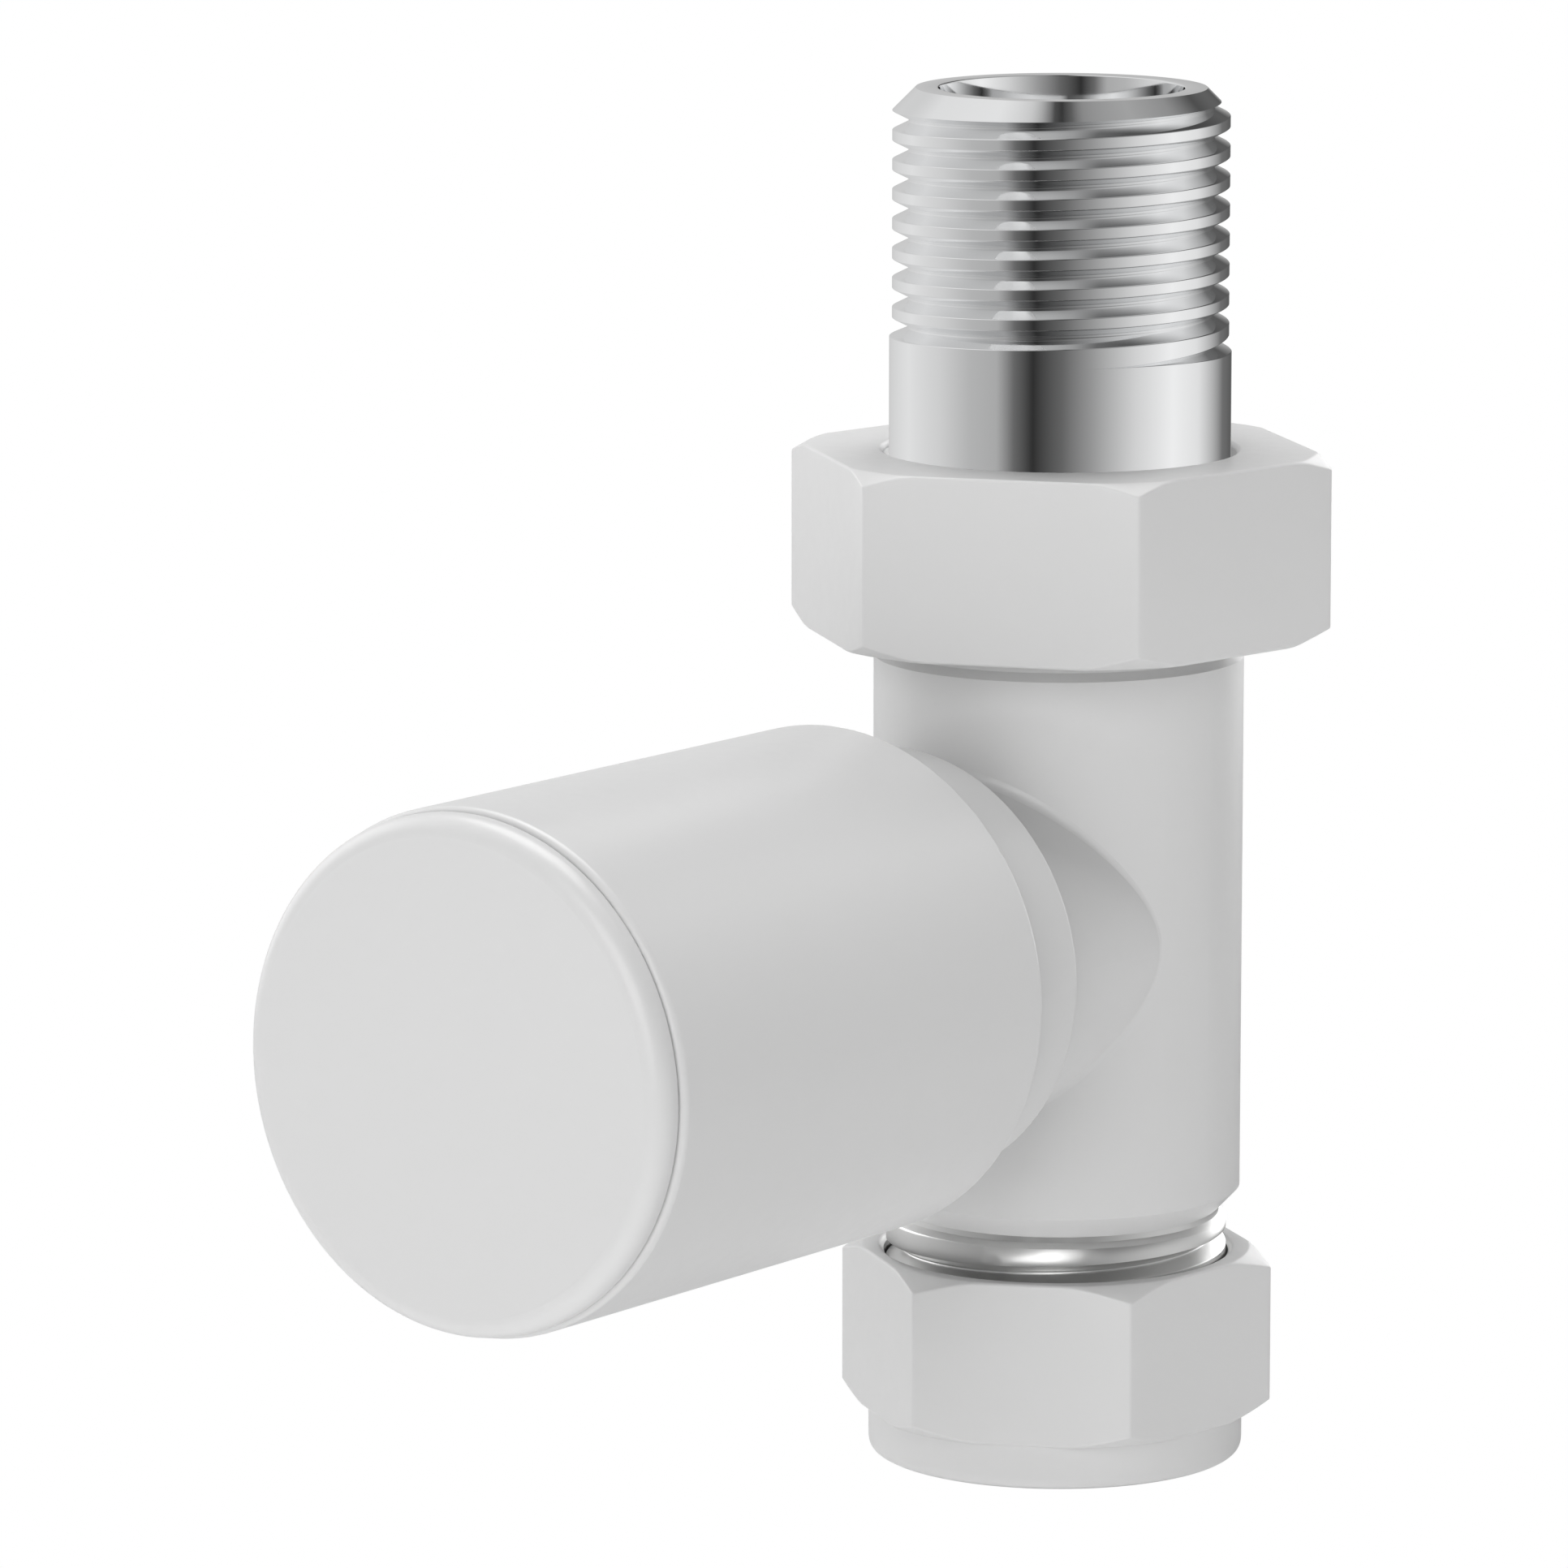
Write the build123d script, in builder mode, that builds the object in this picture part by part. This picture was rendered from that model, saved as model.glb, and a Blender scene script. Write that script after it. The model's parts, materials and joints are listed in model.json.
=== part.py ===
from build123d import *
from math import radians, sqrt, tan
import os

# Straight lockshield radiator valve: 15 mm compression inlet, G1/2 radiator tail, white trim.
# Millimetres. +Z is the flow axis, upwards to the radiator. The origin is on the flow axis at the
# mouth of the pipe socket, which is the lowest point. The regulating branch points along -Y.
# Round parts are turned: a vertical part's outline is (radius, height), and a branch part's outline
# is (radius, distance forwards from the flow axis).

# ---- driving dimensions -------------------------------------------------------------------------
PIPE_DIAMETER = 15.0
TAIL_THREAD_DIAMETER = 20.68      # pipe thread G1/2 over the crests, at the low end of its tolerance
TAIL_SHANK_DIAMETER = 21.02
G_THREE_QUARTER_DIAMETER = 26.4   # union thread
THREAD_PITCH = 25.4 / 14          # both pipe threads have 14 turns to the inch
THREAD_DEPTH = 1.02
SPINDLE_Z = 33.5                  # height of the branch axis
RUNNING_GAP = 0.05                # radial gap of pieces that turn or slide in each other
CONTACT_GAP = 0.02                # between pieces that bear on each other

BARREL_DIAMETER = 22.86
BARREL_BOTTOM, BARREL_TOP = 17.0, 50.3
BOSS_DIAMETER = 21.28
BOSS_SHOULDER = 19.0
BODY_FRONT = 22.0
BODY_BOTTOM = 6.5
SPIGOT_TOP = 57.5
COMPRESSION_THREAD_DIAMETER = 21.2
PIPE_STOP = 17.0
WATERWAY_DIAMETER = 13.0
SEAT_DIAMETER = 8.4
SEAT_FACE = 2.3                   # distance of the seat lip forwards of the flow axis
CHAMBER_DIAMETER = 13.6

TAIL_TOP = 85.3
TAIL_FLANGE_DIAMETER = 24.0
TAIL_FLANGE_BOTTOM = 59.0
TAIL_FLANGE_TOP = 60.9
TAIL_BORE_DIAMETER = 15.06
TAIL_KEY_FLATS = 12.0
TAIL_THREAD_BOTTOM = 69.1

UNION_NUT_FLATS = 29.7
UNION_NUT_BOTTOM, UNION_NUT_TOP = 51.7, 63.1
UNION_NUT_CLOCKING = 21.1
UNION_NUT_HOLE_DIAMETER = 21.7
COMPRESSION_NUT_FLATS = 23.6
COMPRESSION_NUT_TOP = 13.0
COMPRESSION_NUT_CLOCKING = 24.8
COMPRESSION_SKIRT_DIAMETER = 23.34
COMPRESSION_HEX_BOTTOM = 2.8
NUT_CHAMFER_ANGLE = 30.0
NUT_CORNER_ROUND = 0.3

CAP_DIAMETER = 30.86
CAP_REAR, CAP_FRONT = 23.4, 58.4
CAP_BORE_DIAMETER = 28.0
END_DISC_DIAMETER = 30.34
END_DISC_FRONT = 60.23
END_DISC_THICKNESS = 1.6
COLLAR_DIAMETER = 26.52
COLLAR_REAR, COLLAR_FRONT = 16.7, 24.6

BONNET_FLATS = 19.0
BONNET_REAR, BONNET_HEX_FRONT, BONNET_FRONT = 10.0, 26.0, 36.5
BONNET_THREAD_DIAMETER = 16.4
BONNET_NECK_DIAMETER = 15.8
SPINDLE_DIAMETER = 6.0
SPINDLE_SQUARE = 4.8              # across flats, for the lockshield key
SPINDLE_REAR, SPINDLE_FRONT = 10.6, 46.5
THRUST_COLLAR = (19.4, 20.9)      # rear and front of the collar turned on the spindle
THRUST_COLLAR_DIAMETER = 8.9
THRUST_WASHER_FRONT = 21.9
GLAND_DIAMETER = 10.0
GLAND_SEAT = 32.5
GLAND_NUT_FLATS = 11.0
PLUG_HEX_FLATS = 9.0
PLUG_SCREW_DIAMETER = 5.0         # left-hand thread between spindle and plug

# ---- derived values -----------------------------------------------------------------------------
pipe_r = PIPE_DIAMETER / 2 + RUNNING_GAP
tail_r = TAIL_SHANK_DIAMETER / 2
tail_thread_r = TAIL_THREAD_DIAMETER / 2
union_r = G_THREE_QUARTER_DIAMETER / 2
barrel_r = BARREL_DIAMETER / 2
boss_r = BOSS_DIAMETER / 2
compression_r = COMPRESSION_THREAD_DIAMETER / 2
waterway_r = WATERWAY_DIAMETER / 2
cap_r = CAP_DIAMETER / 2
cap_bore_r = CAP_BORE_DIAMETER / 2
collar_r = COLLAR_DIAMETER / 2
spindle_r = SPINDLE_DIAMETER / 2
neck_r = BONNET_NECK_DIAMETER / 2
gland_r = GLAND_DIAMETER / 2
bonnet_thread_r = BONNET_THREAD_DIAMETER / 2
thrust_r = THRUST_COLLAR_DIAMETER / 2
bonnet_bore_r = bonnet_thread_r + RUNNING_GAP

FLOW_AXIS = Axis.Z
FLOW_OUTLINE = Plane.XZ
BRANCH_AXIS = Axis((0, 0, SPINDLE_Z), (0, -1, 0))
BRANCH_OUTLINE = Plane((0, 0, SPINDLE_Z), x_dir=(1, 0, 0), z_dir=(0, 0, -1))


# ---- helpers ------------------------------------------------------------------------------------
def branch_plane(distance):
    """Plane across the branch, facing forwards, at this distance from the flow axis."""
    return Plane((0, -distance, SPINDLE_Z), x_dir=(1, 0, 0), z_dir=(0, -1, 0))


def outline(plane, *points):
    """Closed face through corner points on an outline plane."""
    with BuildSketch(plane) as face:
        with BuildLine():
            Polyline(*points, close=True)
        make_face()
    return face.sketch


def ring(plane, inner_r, outer_r, start, end):
    """Rectangular outline of a plain ring or tube."""
    return outline(plane, (inner_r, start), (outer_r, start), (outer_r, end), (inner_r, end))


def round_section(plane, centre_r, section_r, distance):
    """Round outline of an O-ring."""
    with BuildSketch(plane) as face:
        with Locations((centre_r, distance)):
            Circle(section_r)
    return face.sketch


def hexagon(plane, flats, clocking=0.0):
    """Hexagon across its flats, with one corner at the clocking angle."""
    with BuildSketch(plane) as face:
        RegularPolygon(radius=flats / sqrt(3), side_count=6, rotation=clocking)
    return face.sketch


def groove_corners(crest_r, first, last, crest_flat=0.30, root_flat=0.14):
    """Corner points of thread grooves, one each pitch, between two places on a turned outline."""
    corners = []
    root_r = crest_r - THREAD_DEPTH
    for turn in range(int((last - first) / THREAD_PITCH)):
        start = first + turn * THREAD_PITCH
        middle = start + THREAD_PITCH / 2
        corners.append((crest_r, start + THREAD_PITCH * crest_flat / 2))
        corners.append((root_r, middle - THREAD_PITCH * root_flat / 2))
        corners.append((root_r, middle + THREAD_PITCH * root_flat / 2))
        corners.append((crest_r, start + THREAD_PITCH * (1 - crest_flat / 2)))
    return corners


def nut_blank(flats, bottom, top, corner_trim_bottom, corner_trim_top):
    """Outline of a body of revolution that trims a hexagon's corners at 30 degrees at both ends."""
    corner_r = flats / sqrt(3)
    slope = tan(radians(NUT_CHAMFER_ANGLE))
    return outline(
        FLOW_OUTLINE,
        (0, bottom),
        (corner_r - corner_trim_bottom / slope, bottom),
        (corner_r, bottom + corner_trim_bottom),
        (corner_r, top - corner_trim_top),
        (corner_r - corner_trim_top / slope, top),
        (0, top),
    )


def save(part, name):
    """Label a finished piece and write its STEP file."""
    part.label = name
    export_step(part, f"parts/{name}.step")


os.makedirs("parts", exist_ok=True)

# ---- valve body: barrel, branch boss, threads, and the waterway past the seat --------------------
chamber_back, chamber_front = SEAT_FACE - 0.8, 9.0
seat_lip_r = SEAT_DIAMETER / 2 + 1.2
port_r = 3.0                      # drillings that join the two bores to the seat
lower_bore_top = SPINDLE_Z - 9.0
upper_bore_bottom = SPINDLE_Z + 7.5
rear_port_y = 5.6
front_port_y = -3.8
neck_top = UNION_NUT_BOTTOM - 0.4
neck_root_r = compression_r - 0.45
olive_cone_height = 1.3
olive_cone_r = pipe_r + olive_cone_height * tan(radians(30))

with BuildPart() as valve_body:
    barrel_outline = outline(
        FLOW_OUTLINE,
        (0, BODY_BOTTOM),
        (compression_r - 0.7, BODY_BOTTOM),
        (compression_r, BODY_BOTTOM + 0.7),
        *groove_corners(compression_r, BODY_BOTTOM + 0.7, BARREL_BOTTOM - 1.2),
        (compression_r, BARREL_BOTTOM - 2.0),
        (neck_root_r, BARREL_BOTTOM - 1.7),
        (neck_root_r, BARREL_BOTTOM - 1.35),
        (barrel_r, BARREL_BOTTOM),
        (barrel_r, BARREL_TOP),
        (barrel_r - 0.5, BARREL_TOP + 0.5),
        (barrel_r - 0.5, neck_top),
        (union_r - 0.9, UNION_NUT_BOTTOM + 0.2),
        (union_r, UNION_NUT_BOTTOM + 0.8),
        *groove_corners(union_r, UNION_NUT_BOTTOM + 0.8, SPIGOT_TOP - 0.5),
        (union_r, SPIGOT_TOP - 0.7),
        (union_r - 0.7, SPIGOT_TOP),
        (0, SPIGOT_TOP),
    )
    revolve(barrel_outline, axis=FLOW_AXIS)
    revolve(ring(BRANCH_OUTLINE, 0, boss_r, 0, BOSS_SHOULDER), axis=BRANCH_AXIS)
    saddle = edges().filter_by(lambda e: e.geom_type not in (GeomType.CIRCLE, GeomType.LINE))
    fillet(saddle, 0.6)
    revolve(ring(BRANCH_OUTLINE, 0, boss_r - 1.0, BOSS_SHOULDER - 1, BODY_FRONT), axis=BRANCH_AXIS)
    # pipe socket with the cone that the olive seats in, and the lower bore above the pipe stop
    socket_outline = outline(
        FLOW_OUTLINE,
        (0, BODY_BOTTOM),
        (olive_cone_r, BODY_BOTTOM),
        (pipe_r, BODY_BOTTOM + olive_cone_height),
        (pipe_r, PIPE_STOP),
        (waterway_r, PIPE_STOP),
        (waterway_r, lower_bore_top),
        (0, lower_bore_top),
    )
    revolve(socket_outline, axis=FLOW_AXIS, mode=Mode.SUBTRACT)
    upper_bore = ring(FLOW_OUTLINE, 0, waterway_r, upper_bore_bottom, SPIGOT_TOP)
    revolve(upper_bore, axis=FLOW_AXIS, mode=Mode.SUBTRACT)
    # chamber in front of the seat lip, and the threaded bore that takes the bonnet
    chamber_outline = outline(
        BRANCH_OUTLINE,
        (seat_lip_r, chamber_back),
        (CHAMBER_DIAMETER / 2, chamber_back),
        (CHAMBER_DIAMETER / 2, chamber_front),
        (bonnet_bore_r, chamber_front),
        (bonnet_bore_r, BODY_FRONT - 0.4),
        (bonnet_bore_r + 0.4, BODY_FRONT),
        (0, BODY_FRONT),
        (0, SEAT_FACE),
        (seat_lip_r, SEAT_FACE),
    )
    revolve(chamber_outline, axis=BRANCH_AXIS, mode=Mode.SUBTRACT)
    seat_hole = ring(BRANCH_OUTLINE, 0, SEAT_DIAMETER / 2, -8.0, SEAT_FACE)
    revolve(seat_hole, axis=BRANCH_AXIS, mode=Mode.SUBTRACT)
    with BuildSketch(Plane.XY.offset(lower_bore_top)):
        with Locations((0, rear_port_y)):
            Circle(port_r)
    extrude(amount=SPINDLE_Z - lower_bore_top, mode=Mode.SUBTRACT)
    with BuildSketch(Plane.XY.offset(upper_bore_bottom)):
        with Locations((0, front_port_y)):
            Circle(port_r)
    extrude(amount=-5.0, mode=Mode.SUBTRACT)
save(valve_body.part, "valve_body")

# ---- union joint: fibre washer, chromed tail and hexagon nut -------------------------------------
with BuildPart() as union_washer:
    revolve(ring(FLOW_OUTLINE, 7.0, union_r - 1.4, SPIGOT_TOP, TAIL_FLANGE_BOTTOM), axis=FLOW_AXIS)
save(union_washer.part, "union_washer")

key_top = 72.0
key_bottom = TAIL_FLANGE_TOP + 1.6

with BuildPart() as tailpiece:
    tail_outline = outline(
        FLOW_OUTLINE,
        (0, TAIL_FLANGE_BOTTOM),
        (TAIL_FLANGE_DIAMETER / 2 - 0.4, TAIL_FLANGE_BOTTOM),
        (TAIL_FLANGE_DIAMETER / 2, TAIL_FLANGE_BOTTOM + 0.4),
        (TAIL_FLANGE_DIAMETER / 2, TAIL_FLANGE_TOP),
        (tail_r, TAIL_FLANGE_TOP),
        (tail_r, TAIL_THREAD_BOTTOM),
        (tail_thread_r, TAIL_THREAD_BOTTOM + 0.15),
        *groove_corners(tail_thread_r, TAIL_THREAD_BOTTOM + 0.4, TAIL_TOP - 0.8),
        (tail_thread_r, TAIL_TOP - 1.5),
        (TAIL_BORE_DIAMETER / 2 + 1.4, TAIL_TOP),
        (0, TAIL_TOP),
    )
    revolve(tail_outline, axis=FLOW_AXIS)
    bore_outline = outline(
        FLOW_OUTLINE,
        (0, TAIL_FLANGE_BOTTOM),
        (waterway_r, TAIL_FLANGE_BOTTOM),
        (waterway_r - 0.5, TAIL_FLANGE_BOTTOM + 0.5),
        (waterway_r - 0.5, key_bottom),
        (0, key_bottom),
    )
    revolve(bore_outline, axis=FLOW_AXIS, mode=Mode.SUBTRACT)
    key_socket = hexagon(Plane.XY.offset(key_bottom), TAIL_KEY_FLATS)
    extrude(key_socket, amount=key_top - key_bottom, mode=Mode.SUBTRACT)
    mouth_outline = outline(
        FLOW_OUTLINE,
        (0, key_top),
        (TAIL_BORE_DIAMETER / 2, key_top),
        (TAIL_BORE_DIAMETER / 2, TAIL_TOP),
        (0, TAIL_TOP),
    )
    revolve(mouth_outline, axis=FLOW_AXIS, mode=Mode.SUBTRACT)
save(tailpiece.part, "tailpiece")

with BuildPart() as union_nut:
    hexagon_height = UNION_NUT_TOP - UNION_NUT_BOTTOM
    union_hexagon = hexagon(Plane.XY.offset(UNION_NUT_BOTTOM), UNION_NUT_FLATS, UNION_NUT_CLOCKING)
    extrude(union_hexagon, amount=hexagon_height)
    fillet(edges().filter_by(Axis.Z), NUT_CORNER_ROUND)
    blank = nut_blank(UNION_NUT_FLATS, UNION_NUT_BOTTOM, UNION_NUT_TOP, 0.9, 0.75)
    revolve(blank, axis=FLOW_AXIS, mode=Mode.INTERSECT)
    nut_bore = outline(
        FLOW_OUTLINE,
        (0, UNION_NUT_BOTTOM),
        (union_r + 0.5, UNION_NUT_BOTTOM),
        (union_r + RUNNING_GAP, UNION_NUT_BOTTOM + 0.45),
        (union_r + RUNNING_GAP, TAIL_FLANGE_TOP + 0.1),
        (UNION_NUT_HOLE_DIAMETER / 2, TAIL_FLANGE_TOP + 0.1),
        (UNION_NUT_HOLE_DIAMETER / 2, UNION_NUT_TOP - 0.25),
        (UNION_NUT_HOLE_DIAMETER / 2 + 0.25, UNION_NUT_TOP),
        (0, UNION_NUT_TOP),
    )
    revolve(nut_bore, axis=FLOW_AXIS, mode=Mode.SUBTRACT)
save(union_nut.part, "union_nut")

# ---- compression joint: olive and hexagon nut -----------------------------------------------------
olive_middle = 4.85
olive_r, olive_end_r = 8.7, 7.75

with BuildPart() as olive:
    olive_outline = outline(
        FLOW_OUTLINE,
        (pipe_r, olive_middle - 2.5),
        (olive_end_r, olive_middle - 2.5),
        (olive_r - 0.15, olive_middle - 1.05),
        (olive_r, olive_middle - 0.4),
        (olive_r, olive_middle + 0.4),
        (olive_r - 0.15, olive_middle + 1.05),
        (olive_end_r, olive_middle + 2.5),
        (pipe_r, olive_middle + 2.5),
    )
    revolve(olive_outline, axis=FLOW_AXIS)
save(olive.part, "olive")

with BuildPart() as compression_nut:
    hex_plane = Plane.XY.offset(COMPRESSION_HEX_BOTTOM)
    extrude(
        hexagon(hex_plane, COMPRESSION_NUT_FLATS, COMPRESSION_NUT_CLOCKING),
        amount=COMPRESSION_NUT_TOP - COMPRESSION_HEX_BOTTOM,
    )
    fillet(edges().filter_by(Axis.Z), NUT_CORNER_ROUND)
    blank = nut_blank(COMPRESSION_NUT_FLATS, COMPRESSION_HEX_BOTTOM, COMPRESSION_NUT_TOP, 0.9, 0.9)
    revolve(blank, axis=FLOW_AXIS, mode=Mode.INTERSECT)
    skirt_r = COMPRESSION_SKIRT_DIAMETER / 2
    revolve(ring(FLOW_OUTLINE, 0, skirt_r, 0, COMPRESSION_HEX_BOTTOM + 1), axis=FLOW_AXIS)
    fillet(edges().group_by(Axis.Z)[0], 1.0)
    thread_bore_r = compression_r + 0.15
    nut_bore = outline(
        FLOW_OUTLINE,
        (0, 0),
        (pipe_r, 0),
        (pipe_r, olive_middle - 2.95),
        (olive_r + 0.5, olive_middle - 1.3),
        (thread_bore_r, olive_middle - 0.25),
        (thread_bore_r, COMPRESSION_NUT_TOP - 0.3),
        (thread_bore_r + 0.3, COMPRESSION_NUT_TOP),
        (0, COMPRESSION_NUT_TOP),
    )
    revolve(nut_bore, axis=FLOW_AXIS, mode=Mode.SUBTRACT)
save(compression_nut.part, "compression_nut")

# ---- branch: trim collar, bonnet and its seals ----------------------------------------------------
hexagon_clear_r = BONNET_FLATS / sqrt(3) + 0.35

with BuildPart() as trim_collar:
    collar_outline = outline(
        BRANCH_OUTLINE,
        (boss_r + 0.1, COLLAR_REAR),
        (collar_r, COLLAR_REAR),
        (collar_r, COLLAR_FRONT),
        (hexagon_clear_r, COLLAR_FRONT),
        (hexagon_clear_r, BODY_FRONT - RUNNING_GAP),
        (boss_r - 0.9, BODY_FRONT - RUNNING_GAP),
        (boss_r - 0.9, BOSS_SHOULDER + RUNNING_GAP),
        (boss_r + 0.1, BOSS_SHOULDER + RUNNING_GAP),
    )
    revolve(collar_outline, axis=BRANCH_AXIS)
    outer_edges = edges().filter_by(GeomType.CIRCLE).group_by(SortBy.RADIUS)[-1]
    fillet(outer_edges, 0.3)
save(trim_collar.part, "trim_collar")

o_ring_groove_rear = BODY_FRONT - 1.5
guide_front = THRUST_COLLAR[0] - 0.05

with BuildPart() as bonnet:
    bonnet_outline = outline(
        BRANCH_OUTLINE,
        (0, BONNET_REAR),
        (bonnet_thread_r - 0.7, BONNET_REAR),
        (bonnet_thread_r, BONNET_REAR + 0.7),
        *groove_corners(bonnet_thread_r, BONNET_REAR + 0.7, o_ring_groove_rear),
        (bonnet_thread_r, o_ring_groove_rear),
        (bonnet_thread_r - 0.9, o_ring_groove_rear),
        (bonnet_thread_r - 0.9, BODY_FRONT),
        (neck_r, BODY_FRONT),
        (neck_r, BONNET_FRONT - 0.6),
        (neck_r - 0.6, BONNET_FRONT),
        (0, BONNET_FRONT),
    )
    revolve(bonnet_outline, axis=BRANCH_AXIS)
    extrude(hexagon(branch_plane(BODY_FRONT), BONNET_FLATS), amount=BONNET_HEX_FRONT - BODY_FRONT)
    extrude(
        hexagon(branch_plane(BONNET_REAR), PLUG_HEX_FLATS + 4 * RUNNING_GAP),
        amount=guide_front - BONNET_REAR,
        mode=Mode.SUBTRACT,
    )
    bonnet_bore = outline(
        BRANCH_OUTLINE,
        (0, guide_front),
        (thrust_r + 2 * RUNNING_GAP, guide_front),
        (thrust_r + 2 * RUNNING_GAP, THRUST_WASHER_FRONT),
        (spindle_r + RUNNING_GAP, THRUST_WASHER_FRONT),
        (spindle_r + RUNNING_GAP, GLAND_SEAT),
        (gland_r, GLAND_SEAT),
        (gland_r, BONNET_FRONT),
        (0, BONNET_FRONT),
    )
    revolve(bonnet_bore, axis=BRANCH_AXIS, mode=Mode.SUBTRACT)
save(bonnet.part, "bonnet")

with BuildPart() as bonnet_o_ring:
    middle_r = bonnet_thread_r - 0.4
    groove_middle = (o_ring_groove_rear + BODY_FRONT) / 2
    revolve(round_section(BRANCH_OUTLINE, middle_r, 0.42, groove_middle), axis=BRANCH_AXIS)
save(bonnet_o_ring.part, "bonnet_o_ring")

with BuildPart() as thrust_washer:
    washer_rear = THRUST_COLLAR[1] + CONTACT_GAP
    washer = ring(BRANCH_OUTLINE, spindle_r + RUNNING_GAP, thrust_r, washer_rear, THRUST_WASHER_FRONT)
    revolve(washer, axis=BRANCH_AXIS)
save(thrust_washer.part, "thrust_washer")

packing_front = GLAND_SEAT + 1.5

with BuildPart() as gland_packing:
    packing = ring(BRANCH_OUTLINE, spindle_r + RUNNING_GAP, gland_r - 0.05, GLAND_SEAT, packing_front)
    revolve(packing, axis=BRANCH_AXIS)
save(gland_packing.part, "gland_packing")

gland_hex_rear = BONNET_FRONT + 0.1
gland_hex_front = BONNET_FRONT + 2.7

with BuildPart() as gland_nut:
    gland_screw = ring(BRANCH_OUTLINE, 0, gland_r - 0.05, packing_front, gland_hex_rear)
    revolve(gland_screw, axis=BRANCH_AXIS)
    gland_hexagon = hexagon(branch_plane(gland_hex_rear), GLAND_NUT_FLATS)
    extrude(gland_hexagon, amount=gland_hex_front - gland_hex_rear)
    chamfer_cutter = outline(
        BRANCH_OUTLINE,
        (0, 0),
        (GLAND_NUT_FLATS, 0),
        (GLAND_NUT_FLATS, gland_hex_rear),
        (GLAND_NUT_FLATS / 2 + 1.0, gland_hex_front - 0.5),
        (GLAND_NUT_FLATS / 2, gland_hex_front),
        (0, gland_hex_front),
    )
    revolve(chamfer_cutter, axis=BRANCH_AXIS, mode=Mode.INTERSECT)
    hole = ring(BRANCH_OUTLINE, 0, spindle_r + 0.1, packing_front, gland_hex_front)
    revolve(hole, axis=BRANCH_AXIS, mode=Mode.SUBTRACT)
save(gland_nut.part, "gland_nut")

# ---- spindle and its two O-rings ------------------------------------------------------------------
o_ring_places = (25.0, 28.6)
o_ring_groove_width = 1.3
o_ring_groove_r = spindle_r - 0.75
square_rear = gland_hex_front + 0.6

with BuildPart() as spindle:
    groove_points = []
    for place in o_ring_places:
        groove_points += [
            (spindle_r, place),
            (o_ring_groove_r, place),
            (o_ring_groove_r, place + o_ring_groove_width),
            (spindle_r, place + o_ring_groove_width),
        ]
    spindle_outline = outline(
        BRANCH_OUTLINE,
        (0, SPINDLE_REAR),
        (PLUG_SCREW_DIAMETER / 2 - 0.4, SPINDLE_REAR),
        (PLUG_SCREW_DIAMETER / 2, SPINDLE_REAR + 0.4),
        (PLUG_SCREW_DIAMETER / 2, THRUST_COLLAR[0]),
        (thrust_r, THRUST_COLLAR[0]),
        (thrust_r, THRUST_COLLAR[1]),
        (spindle_r, THRUST_COLLAR[1]),
        *groove_points,
        (spindle_r, SPINDLE_FRONT - 0.5),
        (spindle_r - 0.5, SPINDLE_FRONT),
        (0, SPINDLE_FRONT),
    )
    revolve(spindle_outline, axis=BRANCH_AXIS)
    with BuildSketch(branch_plane(square_rear)):
        Rectangle(4 * SPINDLE_DIAMETER, 4 * SPINDLE_DIAMETER)
        Rectangle(SPINDLE_SQUARE, SPINDLE_SQUARE, mode=Mode.SUBTRACT)
    extrude(amount=SPINDLE_FRONT - square_rear, mode=Mode.SUBTRACT)
save(spindle.part, "spindle")

with BuildPart() as spindle_o_rings:
    section_r = (spindle_r + RUNNING_GAP - o_ring_groove_r) / 2 - CONTACT_GAP
    centre_r = o_ring_groove_r + section_r + CONTACT_GAP / 2
    for place in o_ring_places:
        middle = place + o_ring_groove_width / 2
        revolve(round_section(BRANCH_OUTLINE, centre_r, section_r, middle), axis=BRANCH_AXIS)
save(spindle_o_rings.part, "spindle_o_rings")

# ---- plug: guided by its hexagon, with a rubber washer that closes on the seat --------------------
washer_front = SEAT_FACE + 1.8
plug_head_front = washer_front + 2.5
plug_front = 16.2
plug_r = 6.0
washer_screw_r = 1.25             # shank of the screw that holds the washer
washer_screw_rear = SEAT_FACE - 1.2

with BuildPart() as valve_plug:
    head = outline(
        BRANCH_OUTLINE,
        (0, washer_front),
        (plug_r, washer_front),
        (plug_r, plug_head_front - 0.5),
        (plug_r - 0.5, plug_head_front),
        (0, plug_head_front),
    )
    revolve(head, axis=BRANCH_AXIS)
    extrude(hexagon(branch_plane(plug_head_front), PLUG_HEX_FLATS), amount=plug_front - plug_head_front)
    washer_screw_hole_r = washer_screw_r + RUNNING_GAP
    washer_screw_hole = ring(BRANCH_OUTLINE, 0, washer_screw_hole_r, washer_front, plug_head_front + 0.2)
    revolve(washer_screw_hole, axis=BRANCH_AXIS, mode=Mode.SUBTRACT)
    spindle_screw_r = PLUG_SCREW_DIAMETER / 2 + RUNNING_GAP
    spindle_screw_hole = ring(BRANCH_OUTLINE, 0, spindle_screw_r, plug_head_front + 0.8, plug_front)
    revolve(spindle_screw_hole, axis=BRANCH_AXIS, mode=Mode.SUBTRACT)
save(valve_plug.part, "valve_plug")

with BuildPart() as plug_washer:
    rubber = ring(BRANCH_OUTLINE, washer_screw_r + 0.1, plug_r - 0.3, SEAT_FACE + CONTACT_GAP, washer_front)
    revolve(rubber, axis=BRANCH_AXIS)
save(plug_washer.part, "plug_washer")

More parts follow.
